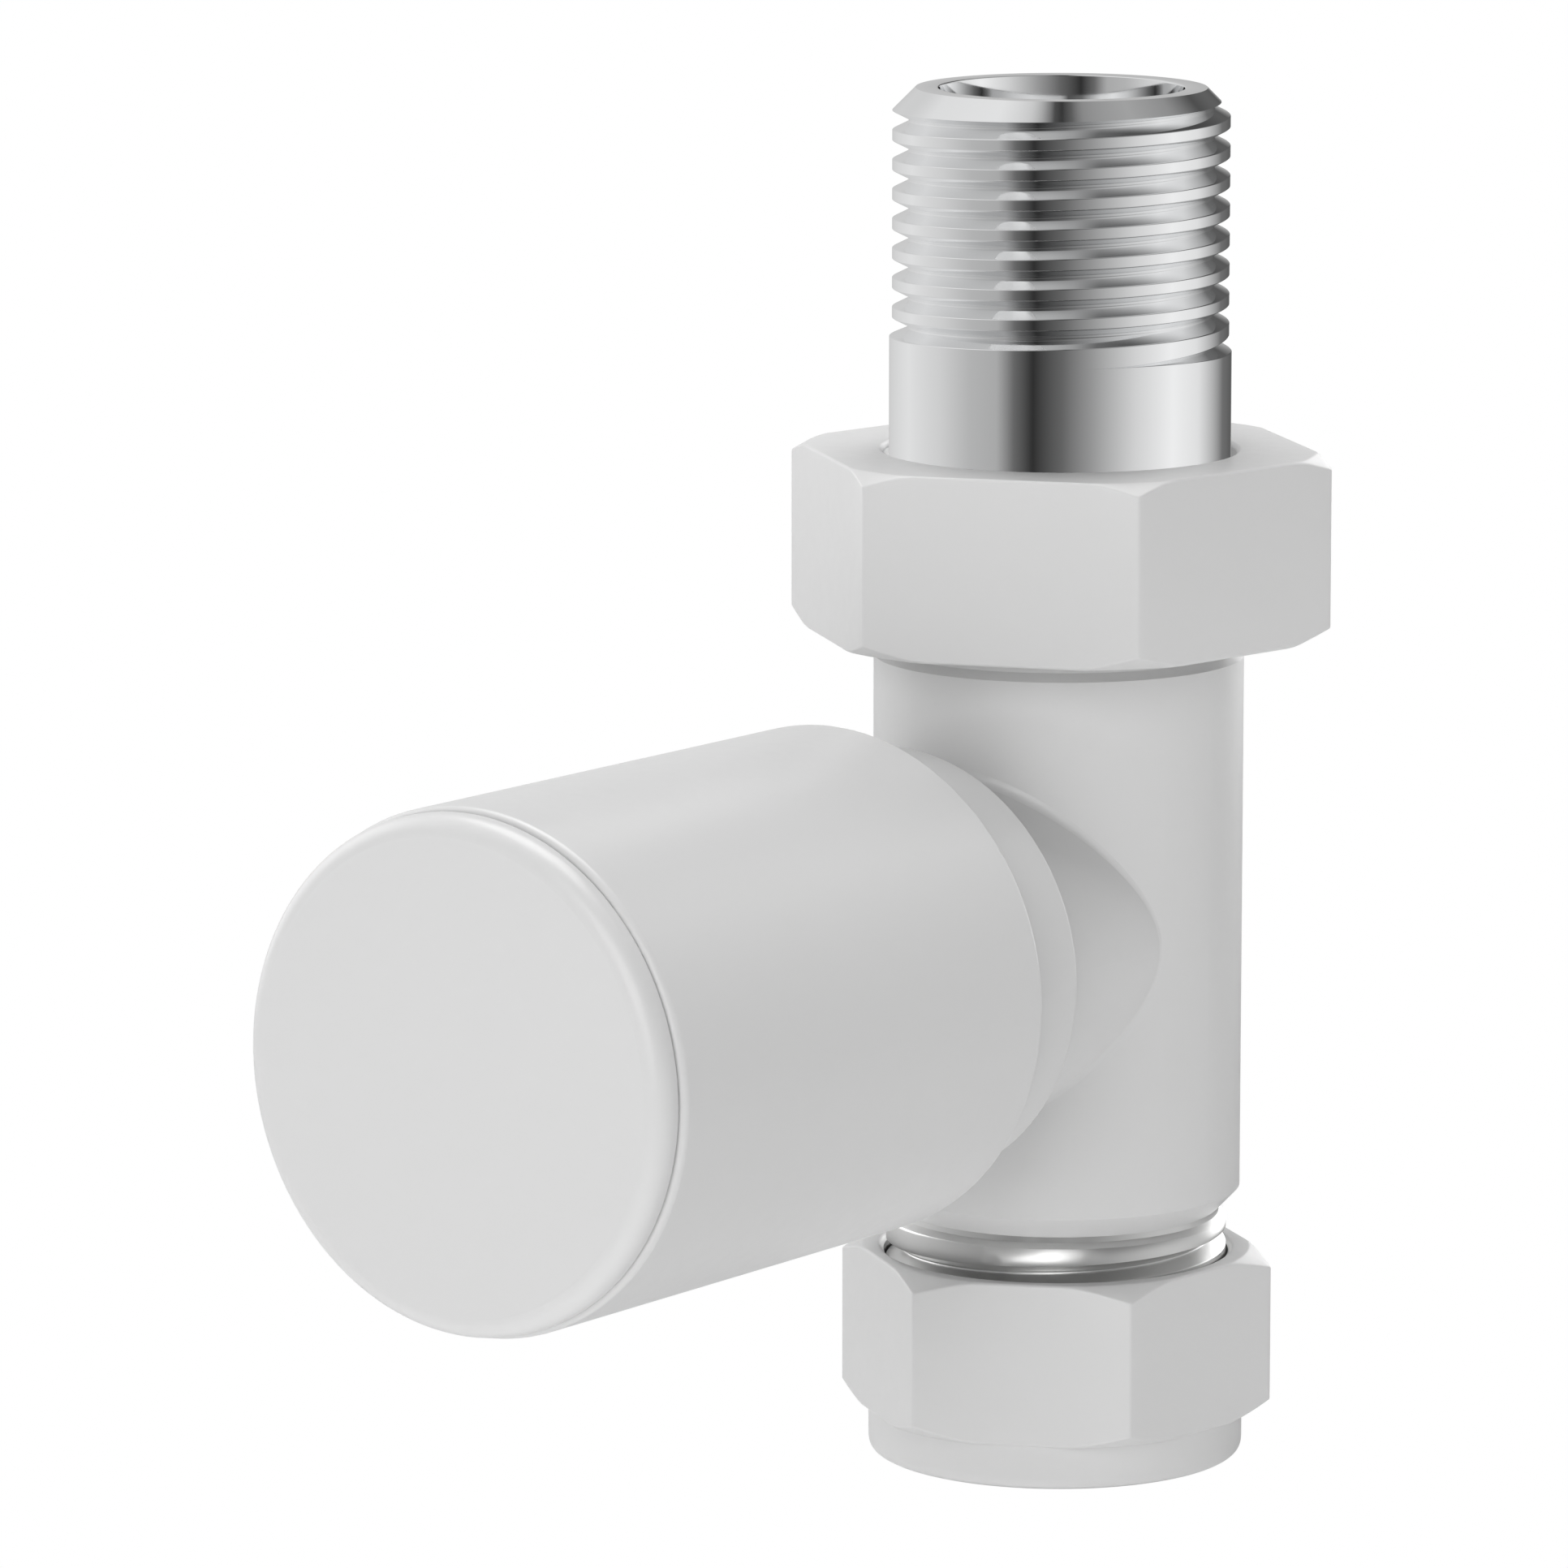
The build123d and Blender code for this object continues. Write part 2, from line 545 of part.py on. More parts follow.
with BuildPart() as plug_washer_screw:
    screw_outline = outline(
        BRANCH_OUTLINE,
        (0, washer_screw_rear),
        (2.2, washer_screw_rear),
        (2.7, washer_screw_rear + 0.5),
        (2.7, SEAT_FACE + CONTACT_GAP),
        (washer_screw_r, SEAT_FACE + CONTACT_GAP),
        (washer_screw_r, plug_head_front),
        (0, plug_head_front),
    )
    revolve(screw_outline, axis=BRANCH_AXIS)
    with BuildSketch(branch_plane(washer_screw_rear)):
        Rectangle(6, 0.6)
    extrude(amount=0.6, mode=Mode.SUBTRACT)
save(plug_washer_screw.part, "plug_washer_screw")

# ---- cap: nylon liner that grips the bonnet, and the sleeve that spins freely on it ----------------
liner_rear, web_rear, web_front = 28.5, 40.0, 42.0
rim_rear, rim_front = 34.1, 44.0
sleeve_shoulder = rim_rear - RUNNING_GAP
grip_groove = (31.0, 32.6)
rim_r, rim_wall = cap_bore_r - RUNNING_GAP, 1.55
hub_r = 10.2
hub_bore_r = neck_r + 0.1

with BuildPart() as cap_liner:
    liner_outline = outline(
        BRANCH_OUTLINE,
        (hub_bore_r + 0.5, liner_rear),
        (hub_r, liner_rear),
        (hub_r, web_rear),
        (rim_r - rim_wall, web_rear),
        (rim_r - rim_wall, rim_rear),
        (rim_r, rim_rear),
        (rim_r, rim_front),
        (rim_r - rim_wall, rim_front),
        (rim_r - rim_wall, web_front),
        (hub_bore_r - 0.8, web_front),
        (hub_bore_r - 0.8, BONNET_FRONT + RUNNING_GAP),
        (hub_bore_r, BONNET_FRONT + RUNNING_GAP),
        (hub_bore_r, grip_groove[1]),
        (hub_bore_r + 1.0, grip_groove[1]),
        (hub_bore_r + 1.0, grip_groove[0]),
        (hub_bore_r, grip_groove[0]),
        (hub_bore_r, liner_rear + 0.5),
    )
    revolve(liner_outline, axis=BRANCH_AXIS)
save(cap_liner.part, "cap_liner")

with BuildPart() as cap_grip_o_ring:
    grip_middle = (grip_groove[0] + grip_groove[1]) / 2
    revolve(round_section(BRANCH_OUTLINE, neck_r + 0.56, 0.52, grip_middle), axis=BRANCH_AXIS)
save(cap_grip_o_ring.part, "cap_grip_o_ring")

snap_groove = (rim_front + RUNNING_GAP, rim_front + 1.15)
snap_groove_r = cap_bore_r + 0.6

with BuildPart() as cap_sleeve:
    sleeve_outline = outline(
        BRANCH_OUTLINE,
        (cap_bore_r, CAP_REAR),
        (cap_r, CAP_REAR),
        (cap_r, CAP_FRONT),
        (cap_bore_r, CAP_FRONT),
        (cap_bore_r, snap_groove[1]),
        (snap_groove_r, snap_groove[1]),
        (snap_groove_r, snap_groove[0]),
        (cap_bore_r, snap_groove[0]),
        (cap_bore_r, sleeve_shoulder),
        (cap_bore_r - 0.6, sleeve_shoulder),
        (cap_bore_r - 0.6, sleeve_shoulder - 1.4),
        (cap_bore_r, sleeve_shoulder - 2.0),
    )
    revolve(sleeve_outline, axis=BRANCH_AXIS)
    for end, rim_round in ((0, 0.5), (-1, 0.3)):
        rims = edges().filter_by(GeomType.CIRCLE).group_by(SortBy.RADIUS)[-1]
        fillet(rims.sort_by(Axis.Y)[end], rim_round)
save(cap_sleeve.part, "cap_sleeve")

with BuildPart() as cap_snap_ring:
    with BuildSketch(branch_plane(snap_groove[0] + RUNNING_GAP)):
        Circle(snap_groove_r - RUNNING_GAP)
        Circle(cap_bore_r - 1.1, mode=Mode.SUBTRACT)
        with Locations((0, -cap_bore_r)):
            Rectangle(4.0, 6.0, mode=Mode.SUBTRACT)
    extrude(amount=snap_groove[1] - snap_groove[0] - 2 * RUNNING_GAP)
save(cap_snap_ring.part, "cap_snap_ring")

disc_rear = END_DISC_FRONT - END_DISC_THICKNESS
spigot_r = cap_bore_r - CONTACT_GAP

with BuildPart() as cap_end_disc:
    disc_outline = outline(
        BRANCH_OUTLINE,
        (0, disc_rear - 0.6),
        (spigot_r - 1.5, disc_rear - 0.6),
        (spigot_r - 1.5, disc_rear - 4.0),
        (spigot_r - 0.3, disc_rear - 4.0),
        (spigot_r, disc_rear - 3.7),
        (spigot_r, disc_rear),
        (END_DISC_DIAMETER / 2, disc_rear),
        (END_DISC_DIAMETER / 2, END_DISC_FRONT),
        (0, END_DISC_FRONT),
    )
    revolve(disc_outline, axis=BRANCH_AXIS)
    fillet(edges().group_by(Axis.Y)[0], 1.2)
save(cap_end_disc.part, "cap_end_disc")
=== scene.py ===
import json
from math import atan2, cos, hypot, pi, radians, sin, sqrt, tan

import bmesh
import bpy
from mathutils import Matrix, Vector

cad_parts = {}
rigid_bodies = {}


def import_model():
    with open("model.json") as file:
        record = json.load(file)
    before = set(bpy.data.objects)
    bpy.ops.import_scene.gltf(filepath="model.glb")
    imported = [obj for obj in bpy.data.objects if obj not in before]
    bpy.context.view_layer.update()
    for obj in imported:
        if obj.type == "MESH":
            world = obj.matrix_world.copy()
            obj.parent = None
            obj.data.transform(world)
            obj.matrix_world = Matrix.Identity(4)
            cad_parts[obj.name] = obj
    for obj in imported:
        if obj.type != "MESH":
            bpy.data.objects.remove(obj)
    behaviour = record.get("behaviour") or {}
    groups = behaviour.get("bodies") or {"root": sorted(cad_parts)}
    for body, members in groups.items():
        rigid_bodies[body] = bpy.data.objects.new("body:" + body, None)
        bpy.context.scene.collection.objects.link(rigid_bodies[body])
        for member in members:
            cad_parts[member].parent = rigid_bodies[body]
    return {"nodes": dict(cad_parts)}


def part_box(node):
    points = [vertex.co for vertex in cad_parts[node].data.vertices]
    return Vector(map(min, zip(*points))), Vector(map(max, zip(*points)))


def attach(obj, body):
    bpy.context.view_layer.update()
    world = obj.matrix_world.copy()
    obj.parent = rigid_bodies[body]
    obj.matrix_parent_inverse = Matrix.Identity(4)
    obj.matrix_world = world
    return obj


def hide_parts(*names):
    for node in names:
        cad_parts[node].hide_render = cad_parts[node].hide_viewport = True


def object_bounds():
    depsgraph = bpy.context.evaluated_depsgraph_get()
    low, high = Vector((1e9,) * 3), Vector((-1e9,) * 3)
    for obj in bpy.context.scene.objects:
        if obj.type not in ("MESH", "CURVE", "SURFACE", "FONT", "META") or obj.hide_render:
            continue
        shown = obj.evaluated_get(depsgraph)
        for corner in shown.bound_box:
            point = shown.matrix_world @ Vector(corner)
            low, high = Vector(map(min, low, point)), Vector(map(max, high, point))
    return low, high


# Looks of the lockshield valve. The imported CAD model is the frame. The threaded pieces are rebuilt
# here as meshes with true right-handed helical threads and softened edges, and every piece gets a
# procedural material. Lengths in this script are millimetres until a mesh is made.

MM = 0.001
TURN = 2 * pi

for leftover in list(bpy.data.objects):
    bpy.data.objects.remove(leftover)
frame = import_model()
cad_low, cad_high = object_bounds()

# ---- dimensions the frame doesn't give by itself --------------------------------------------------
THREAD_PITCH = 25.4 / 14
THREAD_DEPTH = 1.0
CREST_FLAT, ROOT_FLAT = 0.34, 0.06          # shares of the pitch

TAIL_RADIUS = 10.51
TAIL_THREAD_RADIUS = 10.34
TAIL_MOUTH_RADIUS = 7.53
TAIL_NOSE_RADIUS = 8.93
TAIL_KEY_FLATS = 12.0
TAIL_BORE_RADIUS = 6.0
TAIL_COLUMNS = 180

UNION_THREAD_RADIUS = 13.2
COMPRESSION_THREAD_RADIUS = 10.6
NUT_THREAD_DEPTH = 0.6
UNION_NUT_FLATS, UNION_NUT_CLOCKING = 29.7, 21.1
UNION_NUT_HOLE_RADIUS = 10.85
COMPRESSION_NUT_FLATS, COMPRESSION_NUT_CLOCKING = 23.6, 24.8
NUT_CORNER_ROUND = 0.3
NUT_CHAMFER_SLOPE = tan(radians(30))
SKIRT_RADIUS = 11.67
PIPE_RADIUS = 7.55
CAP_RADIUS = 15.43

# angle round the flow axis where the tail's thread runs out, and the body's begins
THREAD_RUN_OUT = -48.3

# camera of the studio view: distance and angles from the object, in metres and degrees
CAMERA_PLACE = (0.32303, -0.46175, 0.14085)
CAMERA_AZIMUTH = 36.70
CAMERA_PITCH = 9.945
CAMERA_LENS = 212.2


def span(node):
    """Lowest and highest corner of a CAD node, in millimetres."""
    low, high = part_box(node)
    return low / MM, high / MM


# ---- mesh helpers ---------------------------------------------------------------------------------
WELD = 0.0004 * MM      # points closer than this are one point
EDGE_ROUND = 0.12       # softness of machined edges
SHARP_ANGLE = 30


def softened(points, radius=EDGE_ROUND, steps=3):
    """Open outline with each inner corner turned into a small arc of a fixed number of points."""
    result = [points[0]]
    for before, corner, after in zip(points, points[1:], points[2:]):
        corner = Vector(corner)
        back, on = Vector(before) - corner, Vector(after) - corner
        reach = min(radius, 0.4 * back.length, 0.4 * on.length)
        start, end = corner + back.normalized() * reach, corner + on.normalized() * reach
        for step in range(steps + 1):
            share = step / steps
            result.append(tuple(start.lerp(corner, share).lerp(corner.lerp(end, share), share)))
    return result + [points[-1]]


def smooth_step(value):
    value = min(max(value, 0.0), 1.0)
    return value * value * (3 - 2 * value)


def groove_shape():
    """Corner points of one thread groove: (share of the pitch from its middle, share of the depth)."""
    crest, root = (1 - CREST_FLAT) / 2, ROOT_FLAT / 2
    side = [(crest, 0.0), (crest - 0.015, 0.02), (crest - 0.035, 0.07), (root + 0.03, 0.93), (root, 0.985)]
    return [(-along, level) for along, level in side] + [(0.0, 1.0)] + side[::-1]


class Thread:
    """A right-handed thread between two plain rings of a turned piece, or in a bore.

    The first groove begins at start_height on the start angle and climbs one pitch each turn. It
    deepens over the first fade of a turn, and shallows over the last. blank is the radius before
    the thread.
    """

    def __init__(self, crest, root, low, high, start_height, start_angle, turns, fade=0.27, blank=None):
        self.crest, self.root, self.low, self.high = crest, root, low, high
        self.start_height, self.start_turn = start_height, start_angle / 360
        self.turns, self.fade = turns, fade
        self.blank = crest if blank is None else blank

    def band_radius(self, turn):
        return self.blank + (self.crest - self.blank) * smooth_step(turn / self.fade)

    def column(self, angle):
        """(radius, height) points up the thread at this angle, the same number at every angle."""
        here = angle / TURN - self.start_turn
        points = [(self.band_radius(-1), self.low)]
        for groove in range(-2, int(self.turns) + 3):
            turn = groove + here
            cut = smooth_step(turn / self.fade) * smooth_step((self.turns - turn) / self.fade)
            for along, level in groove_shape():
                crest = self.band_radius(turn - 1 if along < 0 else turn)
                height = self.start_height + (turn + along * cut) * THREAD_PITCH
                if height <= self.low:
                    points.append(points[0])
                elif height >= self.high:
                    points.append((self.crest, self.high))
                else:
                    points.append((crest + (self.root - crest) * level * cut, height))
        return points + [(self.crest, self.high)]


def cut_by_cone(points, nose_radius, nose_height):
    """Points up a side, cut back to a 45 degree cone that ends at the nose radius and height."""
    result = []
    for point, following in zip(points, points[1:] + points[-1:]):
        room = nose_radius + nose_height - point[1] - point[0]
        next_room = nose_radius + nose_height - following[1] - following[0]
        kept = point if room >= 0 else (point[0] + room, point[1])
        crossing = kept
        if (room < 0) != (next_room < 0):
            crossing = tuple(Vector(point).lerp(Vector(following), room / (room - next_room)))
        result += [kept, crossing]
    return [point if point[1] < nose_height else (nose_radius, nose_height) for point in result]


def even_angles(count):
    return [TURN * place / count for place in range(count)]


def skin_columns(bm, angles, column, closed=True):
    """Faces between the outlines that column gives at each angle, right round the flow axis."""
    rows = []
    for angle in angles + [angles[0] + TURN]:
        rows.append([bm.verts.new((r * cos(angle) * MM, r * sin(angle) * MM, z * MM)) for r, z in column(angle)])
    faces = []
    for left, right in zip(rows, rows[1:]):
        for place in range(len(left) if closed else len(left) - 1):
            above = (place + 1) % len(left)
            faces.append(bm.faces.new((left[place], right[place], right[above], left[above])))
    return faces


def finish_piece(bm, name, materials, body, node, normals=None):
    """Welds a bmesh and makes it a piece that rides on a body in place of a CAD node."""
    bmesh.ops.remove_doubles(bm, verts=bm.verts, dist=WELD)
    bmesh.ops.dissolve_degenerate(bm, edges=bm.edges, dist=WELD)
    bmesh.ops.recalc_face_normals(bm, faces=bm.faces)
    mesh = bpy.data.meshes.new(name)
    kept_normals = [loop[normals].copy() for face in bm.faces for loop in face.loops] if normals else None
    bm.to_mesh(mesh)
    bm.free()
    for material in materials:
        mesh.materials.append(material)
    mesh.shade_smooth()
    mesh.set_sharp_from_angle(angle=radians(SHARP_ANGLE))
    if kept_normals:
        mesh.normals_split_custom_set(kept_normals)
    piece = bpy.data.objects.new(name, mesh)
    bpy.context.scene.collection.objects.link(piece)
    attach(piece, body)
    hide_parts(node)
    return piece


class Hexagon:
    """A nut's hexagon with rounded corners, as a distance from the axis at each angle."""

    def __init__(self, flats, clocking):
        self.apothem, self.clocking = flats / 2, radians(clocking)
        self.corner = flats / sqrt(3)
        self.arc_centre = (self.apothem - NUT_CORNER_ROUND) / cos(pi / 6)
        self.arc_angle = pi / 6 - atan2(self.arc_centre * sin(pi / 6), self.apothem)

    def radius(self, angle):
        off_corner = (angle - self.clocking + pi / 6) % (pi / 3) - pi / 6
        if abs(off_corner) < self.arc_angle:
            across = self.arc_centre * sin(off_corner)
            return self.arc_centre * cos(off_corner) + sqrt(NUT_CORNER_ROUND**2 - across**2)
        return self.apothem / cos(pi / 6 - abs(off_corner))

    def angles(self, steps=20):
        """Columns close together in the rounded corners, and even along the flats."""
        angles = []
        for corner in range(6):
            middle = self.clocking + corner * pi / 3
            angles += [middle + self.arc_angle * share for share in (-1.0, -0.6, -0.2, 0.2, 0.6)]
            reach = pi / 3 - 2 * self.arc_angle
            angles += [middle + self.arc_angle + reach * step / steps for step in range(steps)]
        return angles

    def side(self, angle, bottom, top, bottom_trim, top_trim):
        """Outline up the side: the corners trimmed by 30 degree cones, and every edge softened."""
        here = self.radius(angle)
        points = []
        for face, trim, inwards in ((bottom, bottom_trim, 1), (top, top_trim, -1)):
            cone_radius = self.corner - trim / NUT_CHAMFER_SLOPE
            fall = max(EDGE_ROUND, (here - cone_radius) * NUT_CHAMFER_SLOPE)
            pair = [(min(cone_radius, here - EDGE_ROUND), face), (here, face + inwards * fall)]
            points += pair if inwards > 0 else pair[::-1]
        return points


# ---- materials ------------------------------------------------------------------------------------
class Nodes:
    """Small helper that adds and links shader nodes."""

    def __init__(self, tree):
        self.tree = tree

    def add(self, kind, inputs=None, **settings):
        node = self.tree.nodes.new(kind)
        for key, value in settings.items():
            setattr(node, key, value)
        for key, value in (inputs or {}).items():
            if isinstance(value, bpy.types.NodeSocket):
                self.tree.links.new(value, node.inputs[key])
            else:
                node.inputs[key].default_value = value
        return node


def new_material(name, **constants):
    """A material with a Principled shader, and its node helper."""
    material = bpy.data.materials.new(name)
    material.use_nodes = True
    tree = material.node_tree
    shader = tree.nodes["Principled BSDF"]
    for key, value in constants.items():
        shader.inputs[key.replace("_", " ").title().replace("Ior", "IOR")].default_value = value
    return material, shader, Nodes(tree)


def object_noise(nodes, scale, detail=3.0, stretch=(1, 1, 1)):
    """Noise in the object's own metres; scale is features per metre."""
    place = nodes.add("ShaderNodeTexCoord").outputs["Object"]
    mapping = nodes.add("ShaderNodeMapping", {"Vector": place, "Scale": stretch})
    noise = {"Vector": mapping.outputs["Vector"], "Scale": scale, "Detail": detail}
    return nodes.add("ShaderNodeTexNoise", noise).outputs["Fac"]


def vary(nodes, shader, socket, noise, low, high):
    """Drives a number of the shader between two values by a noise."""
    ranged = nodes.add("ShaderNodeMapRange", {"Value": noise, "From Min": 0.3, "From Max": 0.7, "To Min": low, "To Max": high})
    nodes.tree.links.new(ranged.outputs["Result"], shader.inputs[socket])


def tint(nodes, shader, noise, dark, light):
    """Drives the base colour between two colours by a noise."""
    mix = nodes.add("ShaderNodeMix", data_type="RGBA")
    nodes.tree.links.new(noise, mix.inputs["Factor"])
    mix.inputs["A"].default_value = (*dark, 1)
    mix.inputs["B"].default_value = (*light, 1)
    colour = [output for output in mix.outputs if output.type == "RGBA"][0]
    nodes.tree.links.new(colour, shader.inputs["Base Color"])


def bump(nodes, shader, height, distance, strength=1.0):
    """Relief of this depth, in metres, on the shader's normal."""
    relief = nodes.add("ShaderNodeBump", {"Height": height, "Distance": distance, "Strength": strength})
    nodes.tree.links.new(relief.outputs["Normal"], shader.inputs["Normal"])


def white_paint(name, level):
    """Satin white powder coat with a faint orange peel."""
    material, shader, nodes = new_material(name, ior=1.48, coat_weight=0.15, coat_roughness=0.3)
    broad = object_noise(nodes, 60)
    tint(nodes, shader, broad, [level * 0.985] * 3, [level] * 3)
    vary(nodes, shader, "Roughness", object_noise(nodes, 900), 0.36, 0.44)
    bump(nodes, shader, object_noise(nodes, 1400, detail=2.0), 0.000004)
    return material


def plated(name, base, low, high, peel=0.0000006):
    """Polished plating over turned metal."""
    material, shader, nodes = new_material(name, metallic=1.0, ior=2.5)
    tint(nodes, shader, object_noise(nodes, 90), [c * 0.97 for c in base], base)
    vary(nodes, shader, "Roughness", object_noise(nodes, 700), low, high)
    bump(nodes, shader, object_noise(nodes, 500), peel)
    return material


def turned_brass(name, base, across):
    """Machined brass with fine tool marks across the turning axis."""
    material, shader, nodes = new_material(name, metallic=1.0)
    marks = object_noise(nodes, 60, stretch=across)
    tint(nodes, shader, marks, [c * 0.86 for c in base], base)
    vary(nodes, shader, "Roughness", marks, 0.2, 0.34)
    bump(nodes, shader, marks, 0.000003)
    return material


def moulded(name, dark, light, low, high, grain=2500, depth=0.000004):
    """Rubber, plastic or fibre: two close colours, a roughness range and a fine grain."""
    material, shader, nodes = new_material(name)
    tint(nodes, shader, object_noise(nodes, 220), dark, light)
    vary(nodes, shader, "Roughness", object_noise(nodes, 900), low, high)
    bump(nodes, shader, object_noise(nodes, grain, detail=5.0), depth)
    return material


PAINT_LEVEL = 0.62
ALONG_BRANCH, ALONG_FLOW = (1, 60, 1), (1, 1, 60)
MATERIALS = {
    "white_body": white_paint("body_white_paint", PAINT_LEVEL),
    "white_nut": white_paint("nut_white_paint", PAINT_LEVEL),
    "white_trim": white_paint("trim_white_paint", PAINT_LEVEL),
    "white_cap": white_paint("cap_white_paint", PAINT_LEVEL),
    "chrome": plated("polished_chrome", [0.90, 0.905, 0.91], 0.03, 0.07),
    "brass": turned_brass("turned_brass", [0.78, 0.58, 0.28], ALONG_BRANCH),
    "spindle_brass": turned_brass("spindle_brass", [0.74, 0.56, 0.30], ALONG_BRANCH),
    "olive_brass": turned_brass("olive_soft_brass", [0.83, 0.62, 0.30], ALONG_FLOW),
    "black_rubber": moulded("black_rubber", [0.012] * 3, [0.022] * 3, 0.5, 0.65),
    "ptfe": moulded("white_ptfe", [0.78, 0.78, 0.76], [0.84, 0.84, 0.82], 0.35, 0.5),
    "fibre": moulded("red_fibre", [0.24, 0.05, 0.03], [0.36, 0.09, 0.05], 0.65, 0.85, 1500, 0.00001),
    "nylon": moulded("nylon", [0.70, 0.70, 0.68], [0.78, 0.78, 0.76], 0.35, 0.5),
    "spring_steel": plated("oiled_spring_steel", [0.30, 0.29, 0.28], 0.25, 0.4),
}
NICKEL = plated("nickel_plate", [0.62, 0.62, 0.615], 0.32, 0.40)

for node in frame["nodes"].values():
    for place in node.material_slots:
        place.material = MATERIALS[place.material.name.split(".")[0]]


# ---- tailpiece ------------------------------------------------------------------------------------
def make_tailpiece():
    """Chromed tail: flange, shank, helical radiator thread, chamfered nose and keyed bore."""
    low, high = span("tailpiece")
    bottom, top = low.z, high.z
    flange_top = bottom + 1.9
    key_bottom, key_top = bottom + 3.5, bottom + 13.0
    flange_radius = high.x
    thread = Thread(
        TAIL_THREAD_RADIUS,
        TAIL_THREAD_RADIUS - THREAD_DEPTH,
        bottom + 8.2,
        top + 2 * THREAD_PITCH,
        start_height=bottom + 10.25,
        start_angle=THREAD_RUN_OUT,
        turns=12,
        blank=TAIL_RADIUS,
    )
    base = softened(
        [
            (TAIL_BORE_RADIUS + 0.5, bottom),
            (flange_radius - 0.4, bottom),
            (flange_radius, bottom + 0.4),
            (flange_radius, flange_top),
            (TAIL_RADIUS, flange_top),
            (TAIL_RADIUS, flange_top + 1),
        ]
    )

    def column(angle):
        side = cut_by_cone(thread.column(angle), TAIL_NOSE_RADIUS, top)
        key_radius = TAIL_KEY_FLATS / 2 / cos(angle % (pi / 3) - pi / 6)
        mouth = softened(
            [
                (TAIL_NOSE_RADIUS - 0.3, top),
                (TAIL_MOUTH_RADIUS, top),
                (TAIL_MOUTH_RADIUS, key_top),
            ]
        )
        bore = [
            (key_radius, key_top),
            (key_radius, key_bottom),
            (TAIL_BORE_RADIUS, key_bottom),
            (TAIL_BORE_RADIUS, bottom + 0.5),
        ]
        return base + side + mouth + bore

    bm = bmesh.new()
    skin_columns(bm, even_angles(TAIL_COLUMNS), column)
    return finish_piece(bm, "tailpiece_chromed", [MATERIALS["chrome"]], "tail", "tailpiece")


# ---- nuts -----------------------------------------------------------------------------------------
PAINTED, PLATED = 0, 1


def make_nut(node, body, hexagon, column, bore_radius, bore_bottom, bore_top):
    """A nut from its outlines: painted outside, plated in the bore."""
    bm = bmesh.new()
    for face in skin_columns(bm, hexagon.angles(), column):
        centre = face.calc_center_median() / MM
        in_bore = hypot(centre.x, centre.y) < bore_radius and bore_bottom < centre.z < bore_top
        face.material_index = PLATED if in_bore else PAINTED
    return finish_piece(bm, node + "_formed", [MATERIALS["white_nut"], NICKEL], body, node)


def make_union_nut():
    low, high = span("union_nut")
    bottom, top = low.z, high.z
    shoulder = span("tailpiece")[0].z + 2.0
    bore_radius = UNION_THREAD_RADIUS + 0.05
    hexagon = Hexagon(UNION_NUT_FLATS, UNION_NUT_CLOCKING)
    thread = Thread(
        bore_radius, bore_radius + NUT_THREAD_DEPTH, bottom + 0.5, shoulder - 1.2,
        start_height=bottom + 0.9, start_angle=0, turns=3.2,
    )

    def column(angle):
        shell = [
            (bore_radius + 0.45, bottom),
            *hexagon.side(angle, bottom, top, 0.9, 0.75),
            (UNION_NUT_HOLE_RADIUS + 0.25, top),
            (UNION_NUT_HOLE_RADIUS, top - 0.25),
            (UNION_NUT_HOLE_RADIUS, shoulder),
        ]
        return softened(shell) + [(bore_radius, shoulder)] + thread.column(angle)[::-1]

    return make_nut("union_nut", "union_nut", hexagon, column, bore_radius + NUT_THREAD_DEPTH, bottom, shoulder + 1)


def make_compression_nut():
    low, high = span("compression_nut")
    bottom, top = low.z, high.z
    hex_bottom = bottom + 2.8
    bore_radius = COMPRESSION_THREAD_RADIUS + 0.15
    hexagon = Hexagon(COMPRESSION_NUT_FLATS, COMPRESSION_NUT_CLOCKING)
    thread = Thread(
        bore_radius, bore_radius + 0.75 * NUT_THREAD_DEPTH, bottom + 4.7, top - 0.4,
        start_height=bottom + 5.2, start_angle=0, turns=3.6,
    )
    skirt = softened([(9.5, bottom), (SKIRT_RADIUS, bottom), (SKIRT_RADIUS, bottom + 2.5)], 1.0, 10)

    def column(angle):
        shell = [
            (SKIRT_RADIUS, bottom + 2.5),
            (SKIRT_RADIUS, hex_bottom),
            *hexagon.side(angle, hex_bottom, top, 0.9, 0.9),
            (bore_radius + 0.3, top),
            (bore_radius, top - 0.3),
        ]
        cone = [(bore_radius, bottom + 4.6), (9.2, bottom + 3.55), (PIPE_RADIUS, bottom + 1.9)]
        mouth = [(PIPE_RADIUS, bottom + 0.15), (PIPE_RADIUS + 0.15, bottom)]
        return skirt + softened(shell)[1:] + thread.column(angle)[::-1] + cone + mouth

    bore = bore_radius + NUT_THREAD_DEPTH, bottom + 0.1, top - 0.1
    return make_nut("compression_nut", "compression_nut", hexagon, column, *bore)


